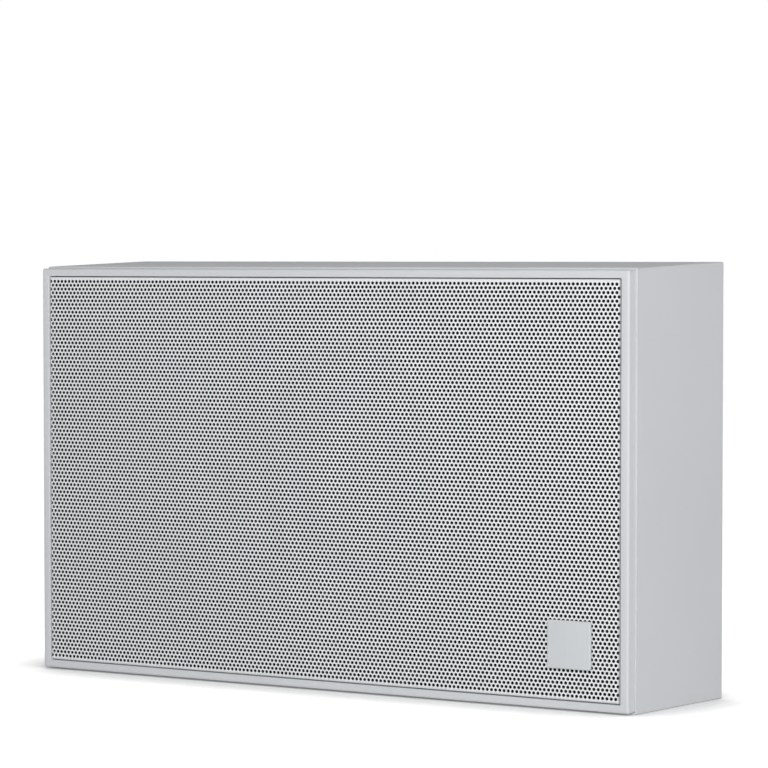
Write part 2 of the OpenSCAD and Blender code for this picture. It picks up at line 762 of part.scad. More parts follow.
module cone() {
  inner = cone_r - rim_w;
  collar = neck_r + cone_t;
  color([0.13, 0.12, 0.11]) face_out() rotate_extrude($fn = round_fn) polygon([
    [cone_r, surround_z], [inner, surround_z], [collar, neck_z - 0.4], [collar, neck_z],
    [neck_r, neck_z], [neck_r, neck_z - 1.8], [collar, neck_z - 1.8], [collar, neck_z - 0.4 - cone_t],
    [inner, surround_z - cone_t], [cone_r, surround_z - cone_t]
  ]);
}

module whizzer_cone() {
  w = whizzer_d / 2;
  collar = neck_r + 0.5;
  top = neck_z + whizzer_h;
  color([0.30, 0.28, 0.25]) face_out() rotate_extrude($fn = round_fn) polygon([
    [neck_r, neck_z], [collar, neck_z], [collar, neck_z + 0.8], [w, top - 0.4],
    [w, top], [w - 0.5, top], [neck_r, neck_z + 1.3]
  ]);
}

// Dome glued to the end of the coil former
module dust_cap() {
  r = former_r - 0.1;
  lip = 0.7;
  rise = 4.5;
  big = ((r - lip) * (r - lip) + rise * rise) / (2 * rise);
  span = asin((r - lip) / big);
  steps = 8;
  color([0.10, 0.10, 0.10]) face_out() translate([0, 0, former_top]) rotate_extrude($fn = round_fn)
    polygon(concat(
      [[r, 0], [r, 0.4]],
      [for (k = [0 : steps]) let (a = span * (1 - k / steps))
        [big * sin(a), big * cos(a) - big + rise + 0.4]],
      [for (k = [0 : steps]) let (a = span * k / steps) [big * sin(a), big * cos(a) - big + rise]]
    ));
}

module coil_former() {
  color([0.75, 0.60, 0.30]) face_out() ring(former_r - former_t, former_r, former_foot, former_top);
}

module voice_coil() {
  color([0.72, 0.42, 0.24]) face_out()
    ring(former_r + 0.05, coil_r, coil_mid - coil_l / 2, coil_mid + coil_l / 2);
}

// Corrugated disc between the basket's inner seat and the coil former
module spider() {
  waves = 5;
  steps = 40;
  h = spider_t;
  function wave(k) = spider_wave * sin(360 * waves * k / steps);
  color([0.55, 0.38, 0.16]) face_out() translate([0, 0, spider_z])
    rotate_extrude($fn = round_fn) polygon(concat(
    [[spider_r, 0], [spider_r, h]],
    [for (k = [0 : steps]) [spider_in + (neck_r - spider_in) * k / steps, h + wave(k)]],
    [for (k = [steps : -1 : 0]) [spider_in + (neck_r - spider_in) * k / steps, wave(k)]]
  ));
}

module top_plate() {
  color(zinc) face_out() ring(coil_r + air_gap, top_plate_d / 2, magnet_top, plate_face);
}

module magnet() {
  color([0.20, 0.20, 0.21]) face_out() ring(magnet_bore / 2, magnet_d / 2, yoke_top, magnet_top);
}

// Yoke: base plate with a broken edge and the centre pole
module yoke() {
  r = magnet_d / 2 - 3;
  color(zinc) face_out() rotate_extrude($fn = round_fn) polygon([
    [0, yoke_back], [r - 1, yoke_back], [r, yoke_back + 1], [r, yoke_top], [pole_r, yoke_top],
    [pole_r, plate_face - 0.5], [pole_r - 0.5, plate_face], [0, plate_face]
  ]);
}

// Insulating board under the basket's flange
module driver_terminal() {
  board_t = 1.6;
  color([0.42, 0.27, 0.14]) face_out()
    translate([bowl_r + basket_t + 0.5, -8, flange_z - basket_t - board_t]) cube([16, 16, board_t]);
}

// Two solder tags flat on the board
module driver_tags() {
  tag_t = 0.5;
  color(brass) face_out() for (s = [-1, 1])
    translate([bowl_r + basket_t + 3, s * 4.5 - 2, flange_z - basket_t - 1.6 - tag_t])
      cube([18, 4, tag_t]);
}

// Flexible leads from the tags, through a window, to the back of the cone
module tinsel_leads() {
  tag_z = flange_z - basket_t - 2.1;
  x0 = bowl_r + basket_t + 5;
  slope = (surround_z - cone_t - neck_z) / (cone_r - rim_w - neck_r);
  tap_r = 0.6 * cone_r;
  end_z = neck_z - 1 + slope * (tap_r - neck_r) - 1.2;
  color(brass) face_out() for (s = [-1, 1])
    tube([
      [x0, 4 * s, tag_z - 0.8], [x0 - 6, 4 * s, surround_z - basket_t - 3.5],
      [bowl_r - 10.5, 4 * s, surround_z - 10.5], [tap_r + 12, 4 * s, end_z - 1.5],
      [tap_r, 4 * s, end_z]
    ], 0.5);
}

module driver_screws() {
  head_z = flange_z - basket_t;
  color(zinc) face_out() for (a = screw_angles)
    rotate([0, 0, a]) translate([screw_r, 0, head_z]) rotate([180, 0, 0]) difference() {
      union() {
        cylinder(d = 7, h = 2.4, $fn = screw_fn);
        translate([0, 0, -basket_t - gasket_t - baffle_t - 2.4])
          cylinder(r = 1.4, h = basket_t + gasket_t + baffle_t + 2.5, $fn = screw_fn);
      }
      cross_recess(2.4);
    }
}

// Turns the transformer's length away from the wall
module on_plate() {
  translate([trafo_x, 0, core_z]) rotate([0, 90, 0]) children();
}

// Stack of laminations with two windows
module transformer_core() {
  color([0.35, 0.35, 0.37]) face_out() on_plate() difference() {
    cube([core_l, core_w, stack], center = true);
    for (s = [-1, 1]) translate([0, s * 1.5 * leg, 0]) cube([window_l, leg, stack + 2 * cut], center = true);
  }
}

// Bobbin: tube on the centre leg between two flanges
module transformer_bobbin() {
  hole = 2 * leg + 2 * bobbin_fit;
  hole_z = stack + 2 * bobbin_fit;
  l = window_l - 2 * bobbin_fit;
  wide = 4 * leg - 2 * bobbin_fit;
  color([0.90, 0.88, 0.80]) face_out() on_plate() difference() {
    union() {
      cube([l, hole + 2 * bobbin_t, hole_z + 2 * bobbin_t], center = true);
      for (s = [-1, 1]) translate([s * (l - bobbin_t) / 2, 0, 0])
        cube([bobbin_t, wide, bobbin_h], center = true);
    }
    cube([l + 2 * cut, hole, hole_z], center = true);
  }
}

module transformer_winding() {
  hole = 2 * leg + 2 * bobbin_fit + 2 * bobbin_t;
  hole_z = stack + 2 * bobbin_fit + 2 * bobbin_t;
  l = window_l - 2 * bobbin_fit - 2 * bobbin_t;
  color([0.85, 0.70, 0.25]) face_out() on_plate() difference() {
    cube([l, 4 * leg - 2 * bobbin_fit - 0.8, bobbin_h - 1.2], center = true);
    cube([l + 2 * cut, hole, hole_z], center = true);
  }
}

// Strap around the core with two feet on the wall plate
module transformer_bracket() {
  side = core_w / 2;
  top = plate_t + core_l;
  color(zinc) face_out() translate([trafo_x - bracket_w / 2, 0, 0]) difference() {
    union() {
      translate([0, -side - bracket_t, top]) cube([bracket_w, 2 * (side + bracket_t), bracket_t]);
      for (s = [-1, 1]) {
        translate([0, s > 0 ? side : -side - bracket_t, plate_t])
          cube([bracket_w, bracket_t, top + bracket_t - plate_t]);
        translate([0, s > 0 ? side : -side - bracket_t - foot_l, plate_t])
          cube([bracket_w, bracket_t + foot_l, bracket_t]);
      }
    }
    for (s = [-1, 1])
      translate([bracket_w / 2, s * foot_y, plate_t - cut])
        cylinder(r = 1.7, h = bracket_t + 2 * cut, $fn = screw_fn);
  }
}

// Short screw with its head on a surface at z and its foot inside the plate
module plate_screw(z) {
  difference() {
    union() {
      translate([0, 0, z]) cylinder(d = 6, h = 2.2, $fn = screw_fn);
      translate([0, 0, 0.2]) cylinder(r = 1.3, h = z, $fn = screw_fn);
    }
    cross_recess(z + 2.2);
  }
}

module transformer_screws() {
  color(zinc) face_out() for (s = [-1, 1])
    translate([trafo_x, s * foot_y, 0]) plate_screw(plate_t + bracket_t);
}

// Two pole ceramic block with screw wells and wire channels
module terminal_block() {
  color([0.93, 0.92, 0.88]) face_out() translate([-block_x, block_y, 0]) difference() {
    translate([-block_w / 2, -block_h / 2, plate_t]) cube([block_w, block_h, block_t]);
    for (s = [-1, 1]) {
      translate([s * pole_gap / 2, block_h / 2 + cut, wire_z]) rotate([90, 0, 0])
        cylinder(d = insert_d + 0.2, h = block_h + 2 * cut, $fn = screw_fn);
      for (t = [-1, 1])
        translate([s * pole_gap / 2, t * block_h / 4, wire_z])
          cylinder(r = 2.4, h = block_t, $fn = screw_fn);
    }
    translate([0, 0, plate_t - cut]) cylinder(r = 1.7, h = block_t + 2 * cut, $fn = screw_fn);
    translate([0, 0, block_top - 4]) cylinder(r = 3.4, h = 4 + cut, $fn = screw_fn);
  }
}

// Brass tubes in the channels, tapped for two screws each
module terminal_inserts() {
  color(brass) face_out() translate([-block_x, block_y, 0]) for (s = [-1, 1]) difference() {
    translate([s * pole_gap / 2, block_h / 2 - 1, wire_z]) rotate([90, 0, 0])
      cylinder(d = insert_d, h = block_h - 2, $fn = screw_fn);
    translate([s * pole_gap / 2, block_h / 2, wire_z]) rotate([90, 0, 0])
      cylinder(r = 1.6, h = block_h, $fn = screw_fn);
    for (t = [-1, 1])
      translate([s * pole_gap / 2, t * block_h / 4, wire_z])
        cylinder(r = 1.3, h = insert_d, $fn = screw_fn);
  }
}

module terminal_screws() {
  color(zinc) face_out() translate([-block_x, block_y, 0]) for (s = [-1, 1], t = [-1, 1])
    translate([s * pole_gap / 2, t * block_h / 4, wire_z + 1.4]) difference() {
      union() {
        cylinder(r = 1.2, h = 4, $fn = screw_fn);
        translate([0, 0, 2.1]) cylinder(r = 2, h = 2.8, $fn = screw_fn);
      }
      translate([-3, -0.3, 4]) cube([6, 0.6, cut + 1]);
    }
}

module block_screw() {
  color(zinc) face_out() translate([-block_x, block_y, 0]) plate_screw(block_top - 4);
}

module thermal_fuse() {
  z = plate_t + fuse_d / 2 + 0.3;
  color([0.82, 0.80, 0.74]) face_out() translate([fuse_x, fuse_y, z]) rotate([0, 90, 0]) {
    cylinder(d = fuse_d, h = fuse_l - 1.5, $fn = screw_fn);
    translate([0, 0, -0.5]) cylinder(d = fuse_d - 1.2, h = fuse_l + 0.5, $fn = screw_fn);
  }
}

// Leads from the block to the transformer, one of them by way of the fuse
module line_leads() {
  y0 = block_y - block_h / 2 - 0.3;
  xl = -block_x - pole_gap / 2;
  xr = -block_x + pole_gap / 2;
  fuse_z = plate_t + fuse_d / 2 + 0.3;
  color([0.70, 0.12, 0.10]) face_out() {
    tube([
      [xl, y0, wire_z], [xl + 1, y0 - 6, wire_z - 1.5], [xl + 9, y0 - 12, floor_z + 1.5],
      [xl + 25, fuse_y + 4.5, floor_z + 0.5], [fuse_x - 12, fuse_y, fuse_z],
      [fuse_x - 0.9, fuse_y, fuse_z]
    ], lead_r);
    tube([
      [fuse_x + fuse_l + 0.4, fuse_y, fuse_z], [fuse_x + fuse_l + 12, fuse_y, floor_z],
      [0, fuse_y - 2, floor_z], [lead_x / 2, fuse_y - 2, floor_z],
      [lead_x - 16, fuse_y + 4, floor_z + 2],
      [lead_x - 6, -9.5, 11], [lead_x, -9, 15]
    ], lead_r);
    tube([
      [xr, y0, wire_z], [xr + 1, y0 - 4, wire_z - 1], [xr + 8, y0 - 7, floor_z + 1],
      [fuse_x - 6, y0 - 8, floor_z], [0, y0 - 10, floor_z], [lead_x / 2, y0 - 10, floor_z],
      [lead_x - 16, y0 - 6, floor_z + 2], [lead_x - 6, -2, 11], [lead_x, -2, 15]
    ], lead_r);
  }
}

// Leads from the transformer up to the driver's tags
module speaker_leads() {
  tag_z = flange_z - basket_t - 2.1 - lead_r - 0.2;
  tag_x = bowl_r + basket_t + 17.5;
  color([0.12, 0.12, 0.14]) face_out() for (s = [-1, 1])
    tube([
      [lead_x, 6 * s, core_z + 4], [lead_x - 4, 6 * s, core_z + 9], [tag_x, 5.5 * s, 0.7 * tag_z],
      [tag_x + 0.5, 5 * s, tag_z - 8], [tag_x, 4.5 * s, tag_z]
    ], lead_r);
}

cabinet();
front_frame();
grille();
grille_cloth();
badge();
badge_clips();
wall_plate();
lock_screws();
cable_grommet();
driver_gasket();
basket();
surround();
cone();
whizzer_cone();
dust_cap();
coil_former();
voice_coil();
spider();
top_plate();
magnet();
yoke();
driver_terminal();
driver_tags();
tinsel_leads();
driver_screws();
transformer_core();
transformer_bobbin();
transformer_winding();
transformer_bracket();
transformer_screws();
terminal_block();
terminal_inserts();
terminal_screws();
block_screw();
thermal_fuse();
line_leads();
speaker_leads();
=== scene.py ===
# Wall speaker: the dressed model on a pale studio floor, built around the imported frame.
import math

import bmesh
import bpy
from mathutils import Matrix, Vector


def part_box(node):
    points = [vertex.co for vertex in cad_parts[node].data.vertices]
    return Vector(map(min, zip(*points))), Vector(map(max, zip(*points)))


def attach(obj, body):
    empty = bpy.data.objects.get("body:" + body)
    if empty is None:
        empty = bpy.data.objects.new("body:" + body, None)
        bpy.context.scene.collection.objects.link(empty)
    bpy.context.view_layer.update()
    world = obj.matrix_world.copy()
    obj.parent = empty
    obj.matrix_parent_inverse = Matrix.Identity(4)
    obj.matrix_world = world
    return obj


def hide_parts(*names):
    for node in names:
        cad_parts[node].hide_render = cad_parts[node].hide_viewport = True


bl_info = {
    "name": "Wall Speaker",
    "version": (1, 0, 0),
    "blender": (4, 5, 0),
    "location": "View3D > Sidebar > Speaker",
    "description": "Dresses a wall speaker: moulded cabinet, perforated grille, driver and wiring",
    "category": "Object",
}

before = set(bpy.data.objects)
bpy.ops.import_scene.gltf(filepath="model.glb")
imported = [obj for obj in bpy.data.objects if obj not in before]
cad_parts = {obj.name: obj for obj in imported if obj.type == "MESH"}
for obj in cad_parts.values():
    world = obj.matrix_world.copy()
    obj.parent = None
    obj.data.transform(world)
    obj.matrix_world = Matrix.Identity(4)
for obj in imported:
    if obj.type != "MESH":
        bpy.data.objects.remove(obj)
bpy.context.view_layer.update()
MM = 0.001
HOUSING = "cabinet_body"
SMOOTH_BELOW = math.radians(35)

# The photograph's view, for a square picture
CAMERA_PLACE = (0.7257, -1.2426, 0.0959)
CAMERA_LOOK = (-0.513, 0.8574, -0.0399)
CAMERA_LENS = 149.09
CAMERA_SENSOR = 36

# Name, place, width, height and power of the soft lamps, which all face the speaker
LAMPS = (
    ("front_softbox", (0.8, -1.25, 0.36), 0.9, 0.5, 11.2),
    ("side_softbox", (1.9, -0.35, 0.13), 1.0, 0.6, 10.7),
    ("top_softbox", (0.0, -1.05, 0.80), 1.0, 0.3, 3.8),
)
LAMP_TARGET = Vector((0, -0.04, 0))
SURROUNDINGS_TINT = (0.985, 0.99, 1, 1)
SURROUNDINGS_LIGHT = 0.20

# The floor glows white for the camera in the open; near the speaker ambient occlusion dims its glow, a painted
# contact shadow
FLOOR_HALF = 6.0
FLOOR_GAP = 0.05 * MM
PAINTED_SHADOW_REACH = 48 * MM
PAINTED_SHADOW_DEEPEST = 0.55
GLOW_IN_PAINTED_SHADOW = 0.16
GLOW_OPEN = 0.85

GRILLE_LOW, GRILLE_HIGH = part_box("grille")
FRAME_LOW, FRAME_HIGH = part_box("front_frame")
CABINET_LOW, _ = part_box("cabinet")
BADGE_LOW, BADGE_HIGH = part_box("badge")
CLOTH_LOW, CLOTH_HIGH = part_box("grille_cloth")


class SpeakerSizes(bpy.types.PropertyGroup):
    """Sizes of the pieces that are made here and not taken from the frame"""

    draft: bpy.props.FloatProperty(
        name="Draft", description="Lean of the cabinet's walls", default=math.radians(1.67), subtype="ANGLE",
    )
    lip_edge: bpy.props.FloatProperty(
        name="Lip edge", description="Radius of the cabinet's edges", default=0.25 * MM, unit="LENGTH",
    )
    snug: bpy.props.FloatProperty(
        name="Snug", description="How much closer than its solid the frame fits the cabinet", default=0.07 * MM,
        unit="LENGTH",
    )
    pocket: bpy.props.FloatProperty(
        name="Pocket", description="Depth of the pocket that takes the frame", default=8.8 * MM, unit="LENGTH",
    )
    frame_corner: bpy.props.FloatProperty(
        name="Frame corner", description="Radius of the frame's corners from the front", default=0.8 * MM,
        unit="LENGTH",
    )
    border_side: bpy.props.FloatProperty(
        name="Side border", description="Width of the frame left and right of the window", default=3.65 * MM,
        unit="LENGTH",
    )
    border_top: bpy.props.FloatProperty(
        name="Top border", description="Width of the frame above and below the window", default=3.4 * MM,
        unit="LENGTH",
    )
    frame_edge: bpy.props.FloatProperty(
        name="Frame edge", description="Radius of the frame's outer front edge", default=1.0 * MM,
        unit="LENGTH",
    )
    recess: bpy.props.FloatProperty(
        name="Recess", description="Depth of the grille behind the frame", default=0.3 * MM, unit="LENGTH",
    )
    crown: bpy.props.FloatProperty(
        name="Bulge", description="How far the grille's middle bulges out", default=2.7 * MM, unit="LENGTH",
    )
    sheet: bpy.props.FloatProperty(
        name="Sheet", description="Thickness of the grille's sheet", default=0.6 * MM, unit="LENGTH",
    )
    fold: bpy.props.FloatProperty(
        name="Fold", description="Outside radius of the grille's folds", default=1.1 * MM, unit="LENGTH",
    )
    fold_depth: bpy.props.FloatProperty(
        name="Fold depth", description="Depth of the grille's folded edges", default=7.0 * MM, unit="LENGTH",
    )
    pitch: bpy.props.FloatProperty(
        name="Hole pitch", description="Distance between holes along a row", default=2.0 * MM, unit="LENGTH",
    )
    hole: bpy.props.FloatProperty(
        name="Hole", description="Diameter of a hole", default=1.43 * MM, unit="LENGTH",
    )
    side_limit: bpy.props.FloatProperty(
        name="Side limit", description="How far a hole may run into a side fold before it is left out",
        default=1.72 * MM, unit="LENGTH",
    )
    top_limit: bpy.props.FloatProperty(
        name="Top limit", description="The same for the top and bottom folds", default=1.3 * MM, unit="LENGTH",
    )
    slip: bpy.props.FloatProperty(
        name="Slip", description="How far the sheet sits to the left in its window", default=0.4 * MM,
        unit="LENGTH",
    )
    badge_edge: bpy.props.FloatProperty(
        name="Badge edge", description="Radius of the badge's front edge", default=0.35 * MM, unit="LENGTH",
    )
    badge_corner: bpy.props.FloatProperty(
        name="Badge corner", description="Radius of the badge's corners", default=0.8 * MM, unit="LENGTH",
    )


class SpeakerFinishes(bpy.types.PropertyGroup):
    """Colours of the finishes"""

    housing: bpy.props.FloatVectorProperty(
        name="Housing", description="Moulded plastic", default=(0.600, 0.614, 0.630), size=3, subtype="COLOR",
    )
    grille: bpy.props.FloatVectorProperty(
        name="Grille", description="Powder coat", default=(0.745, 0.757, 0.770), size=3, subtype="COLOR",
    )
    # Painted shade: near-black hole walls stand in for the shade inside the holes
    hole_wall_painted_shade: bpy.props.FloatVectorProperty(
        name="Hole wall", description="Thin paint inside the holes", default=(0.06, 0.06, 0.063), size=3,
        subtype="COLOR",
    )
    badge: bpy.props.FloatVectorProperty(
        name="Badge", description="Plate of the badge", default=(0.580, 0.598, 0.612), size=3, subtype="COLOR",
    )
    cloth: bpy.props.FloatVectorProperty(
        name="Cloth", description="Acoustic cloth", default=(0.006, 0.006, 0.007), size=3, subtype="COLOR",
    )
    floor: bpy.props.FloatVectorProperty(
        name="Floor", description="Studio floor", default=(0.90, 0.90, 0.90), size=3, subtype="COLOR",
    )


# Finishes

def new_material(name, colour, rough, metal=0.0):
    """A principled material; returns it with its nodes, links and shader."""
    mat = bpy.data.materials.new(name)
    mat.use_nodes = True
    mat.diffuse_color = (*colour, 1)
    shader = mat.node_tree.nodes["Principled BSDF"]
    shader.inputs["Roughness"].default_value = rough
    shader.inputs["Metallic"].default_value = metal
    return mat, mat.node_tree.nodes, mat.node_tree.links, shader


def object_noise(nodes, links, scale, detail=3.0, stretch=(1, 1, 1)):
    """Noise that lies in the object's own space, its scale in waves per metre."""
    place = nodes.new("ShaderNodeTexCoord")
    turn = nodes.new("ShaderNodeMapping")
    turn.inputs["Scale"].default_value = stretch
    noise = nodes.new("ShaderNodeTexNoise")
    noise.inputs["Scale"].default_value = scale
    noise.inputs["Detail"].default_value = detail
    links.new(place.outputs["Object"], turn.inputs["Vector"])
    links.new(turn.outputs["Vector"], noise.inputs["Vector"])
    return noise.outputs["Fac"]


def object_wave(nodes, links, way, scale, distortion):
    """Bands across one of the object's own axes."""
    place = nodes.new("ShaderNodeTexCoord")
    wave = nodes.new("ShaderNodeTexWave")
    wave.bands_direction = way
    wave.inputs["Scale"].default_value = scale
    wave.inputs["Distortion"].default_value = distortion
    links.new(place.outputs["Object"], wave.inputs["Vector"])
    return wave.outputs["Fac"]


def varied(nodes, links, shader, fac, colour, spread):
    """Base colour that wanders by spread around the given one."""
    ramp = nodes.new("ShaderNodeValToRGB")
    for stop, way in zip(ramp.color_ramp.elements, (-1, 1)):
        stop.color = (*[max(0.0, min(1.0, c * (1 + way * spread))) for c in colour], 1)
    ramp.color_ramp.elements[0].position = 0.3
    ramp.color_ramp.elements[1].position = 0.7
    links.new(fac, ramp.inputs["Fac"])
    links.new(ramp.outputs["Color"], shader.inputs["Base Color"])


def rough_range(nodes, links, shader, fac, low, high):
    """Roughness between low and high along a pattern."""
    span = nodes.new("ShaderNodeMapRange")
    span.inputs["To Min"].default_value = low
    span.inputs["To Max"].default_value = high
    links.new(fac, span.inputs["Value"])
    links.new(span.outputs["Result"], shader.inputs["Roughness"])


def bumped(nodes, links, shader, fac, depth, strength=1.0):
    """Bump of the given depth in metres."""
    bump = nodes.new("ShaderNodeBump")
    bump.inputs["Strength"].default_value = strength
    bump.inputs["Distance"].default_value = depth
    links.new(fac, bump.inputs["Height"])
    links.new(bump.outputs["Normal"], shader.inputs["Normal"])


def moulded_plastic(name, colour, rough=0.5, grain=0.02 * MM):
    """Plastic with the fine spark-eroded grain of a mould."""
    mat, nodes, links, shader = new_material(name, colour, rough)
    cloud = object_noise(nodes, links, 14, 4)
    grains = object_noise(nodes, links, 2600, 2)
    varied(nodes, links, shader, cloud, colour, 0.015)
    rough_range(nodes, links, shader, cloud, rough - 0.05, rough + 0.06)
    bumped(nodes, links, shader, grains, grain, 0.5)
    shader.inputs["Specular IOR Level"].default_value = 0.04
    return mat


def powder_coat(name, colour):
    """Paint baked on steel, with a slight orange peel."""
    mat, nodes, links, shader = new_material(name, colour, 0.45)
    peel = object_noise(nodes, links, 900, 2)
    cloud = object_noise(nodes, links, 20, 3)
    varied(nodes, links, shader, cloud, colour, 0.012)
    rough_range(nodes, links, shader, peel, 0.38, 0.5)
    bumped(nodes, links, shader, peel, 0.015 * MM, 0.4)
    return mat


def acoustic_cloth(name, colour):
    """Black cloth with a plain weave."""
    mat, nodes, links, shader = new_material(name, colour, 0.95)
    cross = nodes.new("ShaderNodeMath")
    cross.operation = "MULTIPLY"
    for k, way in enumerate(("X", "Z")):
        links.new(object_wave(nodes, links, way, 500, 0.3), cross.inputs[k])
    varied(nodes, links, shader, cross.outputs["Value"], colour, 0.5)
    bumped(nodes, links, shader, cross.outputs["Value"], 0.1 * MM, 0.8)
    shader.inputs["Sheen Weight"].default_value = 0.1
    return mat


def satin_plate(name, colour):
    """Badge blank: fine vertical brushing under a satin lacquer."""
    mat, nodes, links, shader = new_material(name, colour, 0.6)
    brush = object_noise(nodes, links, 90, 4, (60, 1, 1.5))
    varied(nodes, links, shader, brush, colour, 0.02)
    rough_range(nodes, links, shader, brush, 0.55, 0.65)
    bumped(nodes, links, shader, brush, 0.005 * MM, 0.2)
    shader.inputs["Specular IOR Level"].default_value = 0.3
    return mat


def zinc_plate(name, colour, rough=0.35):
    """Zinc-plated steel with a soft spangle."""
    mat, nodes, links, shader = new_material(name, colour, rough, 0.9)
    spangle = object_noise(nodes, links, 120, 3)
    fine = object_noise(nodes, links, 1800, 2)
    varied(nodes, links, shader, spangle, colour, 0.08)
    rough_range(nodes, links, shader, spangle, rough - 0.08, rough + 0.12)
    bumped(nodes, links, shader, fine, 0.01 * MM, 0.3)
    return mat


def soft_rubber(name, colour, rough=0.7):
    """Matt rubber with dust in its grain."""
    mat, nodes, links, shader = new_material(name, colour, rough)
    grain = object_noise(nodes, links, 700, 3)
    varied(nodes, links, shader, grain, colour, 0.2)
    rough_range(nodes, links, shader, grain, rough - 0.1, rough + 0.1)
    bumped(nodes, links, shader, grain, 0.03 * MM, 0.5)
    return mat


def pulp_paper(name, colour):
    """Pressed pulp with short fibres."""
    mat, nodes, links, shader = new_material(name, colour, 0.9)
    fibre = object_noise(nodes, links, 260, 6, (1, 1, 2.2))
    varied(nodes, links, shader, fibre, colour, 0.25)
    bumped(nodes, links, shader, fibre, 0.08 * MM, 0.6)
    return mat


def wound_wire(name, colour, turns, metal=0.8):
    """Layers of wire; the turns lie across the object's depth."""
    mat, nodes, links, shader = new_material(name, colour, 0.35, metal)
    turn = object_wave(nodes, links, "Y", turns, 0.4)
    varied(nodes, links, shader, turn, colour, 0.3)
    bumped(nodes, links, shader, turn, 0.1 * MM, 0.8)
    return mat


def laminated_steel(name, colour):
    """Edges of stacked sheets under varnish."""
    mat, nodes, links, shader = new_material(name, colour, 0.45, 0.7)
    stack = object_wave(nodes, links, "X", 320, 0.6)
    varied(nodes, links, shader, stack, colour, 0.35)
    bumped(nodes, links, shader, stack, 0.05 * MM, 0.6)
    return mat


def fired_ceramic(name, colour, rough=0.6):
    """Unglazed ceramic or ferrite with fine pores."""
    mat, nodes, links, shader = new_material(name, colour, rough)
    pores = object_noise(nodes, links, 500, 5)
    varied(nodes, links, shader, pores, colour, 0.08)
    rough_range(nodes, links, shader, pores, rough - 0.1, rough + 0.15)
    bumped(nodes, links, shader, pores, 0.04 * MM, 0.5)
    return mat


def seen_rays(nodes, links):
    """1 for rays from the camera, off a gloss or through something clear."""
    path = nodes.new("ShaderNodeLightPath")
    seen = path.outputs["Is Camera Ray"]
    for name in ("Is Glossy Ray", "Is Transmission Ray"):
        either = nodes.new("ShaderNodeMath")
        either.operation = "MAXIMUM"
        links.new(seen, either.inputs[0])
        links.new(path.outputs[name], either.inputs[1])
        seen = either.outputs["Value"]
    return seen


# Building helpers

def rounded_loop(half_w, half_h, radius, steps=6):
    """Points of a rounded rectangle, counted from the middle of its right side."""
    points = []
    for corner in range(4):
        cx = (half_w - radius) * (1 if corner in (0, 3) else -1)
        cy = (half_h - radius) * (1 if corner < 2 else -1)
        for k in range(steps + 1):
            a = math.pi / 2 * (corner + k / steps)
            points.append((cx + radius * math.cos(a), cy + radius * math.sin(a)))
    return points


def skin_rings(name, rings, closed=True):
    """Mesh over rings of points, each with its distance from the wall; closed joins the last to the first."""
    bm = bmesh.new()
    rows = [[bm.verts.new((x, -z, y)) for x, y in points] for points, z in rings]
    count = len(rows[0])
    pairs = list(zip(rows, rows[1:]))
    if closed:
        pairs.append((rows[-1], rows[0]))
    for a, b in pairs:
        for k in range(count):
            j = (k + 1) % count
            bm.faces.new((a[k], a[j], b[j], b[k]))
    if not closed:
        bm.faces.new(rows[0][::-1])
        bm.faces.new(rows[-1])
    bmesh.ops.recalc_face_normals(bm, faces=bm.faces)
    return finish_mesh(name, bm)


def mesh_object(name, bm):
    """Object in the scene from a bmesh, which is freed."""
    mesh = bpy.data.meshes.new(name)
    bm.to_mesh(mesh)
    bm.free()
    obj = bpy.data.objects.new(name, mesh)
    bpy.context.scene.collection.objects.link(obj)
    return obj


def finish_mesh(name, bm):
    """Object from a bmesh, with its edges sharp where faces meet at a wide angle."""
    for face in bm.faces:
        face.smooth = True
    for edge in bm.edges:
        if len(edge.link_faces) != 2 or edge.calc_face_angle(0) > SMOOTH_BELOW:
            edge.smooth = False
    return mesh_object(name, bm)


def dress(obj, material, node):
    """Gives a made piece its material and slot, and lets it stand for a node of the frame."""
    obj.data.materials.append(material)
    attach(obj, HOUSING)
    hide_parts(node)


def frame_node(name):
    """Node of the frame, or an error that names it."""
    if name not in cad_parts:
        raise RuntimeError(f"The frame has no node {name}")
    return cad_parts[name]


def repaint(material, *names):
    """Gives nodes of the frame a finish."""
    for name in names:
        node = frame_node(name)
        if not node.material_slots:
            node.data.materials.append(material)
        for slot in node.material_slots:
            slot.material = material


def soften(radius, *names):
    """Rounds the sharp edges of nodes of the frame."""
    for name in names:
        edge = frame_node(name).modifiers.new("soft_edges", "BEVEL")
        edge.width = radius
        edge.segments = 3
        edge.limit_method = "ANGLE"
        edge.angle_limit = SMOOTH_BELOW
        edge.harden_normals = True


def quarter(radius, steps):
    """Inset and drop along a rounded edge, from the side to the front."""
    turns = [math.pi / 2 * k / steps for k in range(steps + 1)]
    return [(radius * (1 - math.cos(a)), radius * (1 - math.sin(a))) for a in turns]


